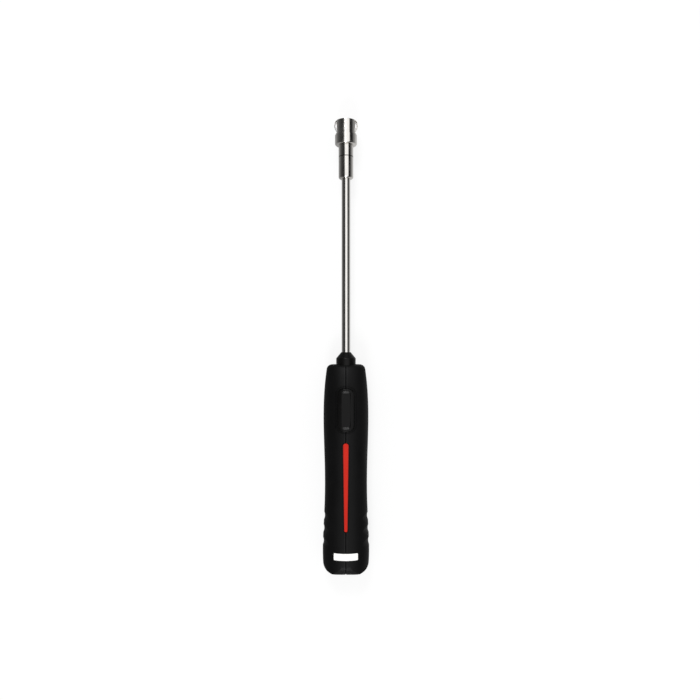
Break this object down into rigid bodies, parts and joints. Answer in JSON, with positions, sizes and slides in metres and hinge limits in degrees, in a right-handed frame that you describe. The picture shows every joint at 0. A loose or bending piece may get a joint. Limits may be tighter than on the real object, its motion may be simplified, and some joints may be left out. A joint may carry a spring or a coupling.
{
  "type": "surface contact temperature probe",
  "caption": "Handheld surface temperature probe: slender steel stem with a sprung cross-band contact head on a black split-shell battery handle with a press button and red inlay.",
  "frame": {"origin": "on the surface under the flat back, below the middle of the tool's length and width", "axes": "+X to the right seen from the front, +Y along the stem towards the contact tip, +Z from the flat back out of the front with the button"},
  "size_m": [0.0298, 0.2912, 0.0264],
  "materials": {
    "shell_plastic": "fine matt texture",
    "button_plastic": "fine matt texture, polished edge",
    "red_plastic": "glossy",
    "white_label": "semi-gloss, blank",
    "gland_plastic": "satin",
    "plug_rubber": "matt",
    "stainless_steel": "fine turned, polished",
    "nickel_alloy": "satin, slightly warm",
    "positive_alloy": "bright rolled strip",
    "negative_alloy": "grey rolled strip",
    "spring_steel": "rolled strip",
    "ceramic": "unglazed, ivory",
    "zinc_steel": "zinc plated",
    "inner_plastic": "plain",
    "cell_jacket": "plain printed film, unmarked",
    "board_laminate": "lacquered",
    "component_black": "moulded",
    "shield_can": "tinned",
    "red_insulation": "smooth",
    "white_insulation": "smooth"
  },
  "bodies": {
    "handle": {"left_shell": "shell_plastic", "right_shell": "shell_plastic", "shell_screws": "zinc_steel", "press_switch": "component_black", "red_inlay": "red_plastic", "label_plate": "white_label", "foot_plug": "plug_rubber", "battery_cradle": "inner_plastic", "battery_cells": "cell_jacket", "contact_springs": "spring_steel", "link_plate": "spring_steel", "positive_contact": "spring_steel", "negative_contact": "spring_steel", "circuit_board": "board_laminate", "radio_module": "shield_can", "measuring_chip": "component_black", "cold_junction_block": "inner_plastic", "nose_gland": "gland_plastic", "probe_tube": "stainless_steel", "lower_sleeve": "stainless_steel", "upper_collar": "stainless_steel", "head_flange": "stainless_steel", "head_cup": "stainless_steel", "head_floor": "nickel_alloy", "head_screws": "nickel_alloy", "insulator_block": "ceramic", "positive_ribbon": "positive_alloy", "negative_ribbon": "negative_alloy", "side_springs": "spring_steel", "positive_lead": "white_insulation", "negative_lead": "red_insulation"},
    "button": {"record_button": "button_plastic", "switch_plunger": "inner_plastic"},
    "battery_door": {"battery_door": "shell_plastic"},
    "contact": {"measuring_junction": "nickel_alloy"}
  },
  "joints": [
    {"name": "button_press", "type": "slide", "parent": "handle", "child": "button", "axis": [0, 0, -1], "range_m": [0, 0.0008], "stiffness_N_per_m": 1500},
    {"name": "contact_press", "type": "slide", "parent": "handle", "child": "contact", "axis": [0, -1, 0], "range_m": [0, 0.0012], "stiffness_N_per_m": 900, "deforming": ["positive_ribbon", "negative_ribbon", "side_springs"]},
    {"name": "door_slide", "type": "slide", "parent": "handle", "child": "battery_door", "axis": [0, -1, 0], "range_m": [0, 0.066]}
  ]
}
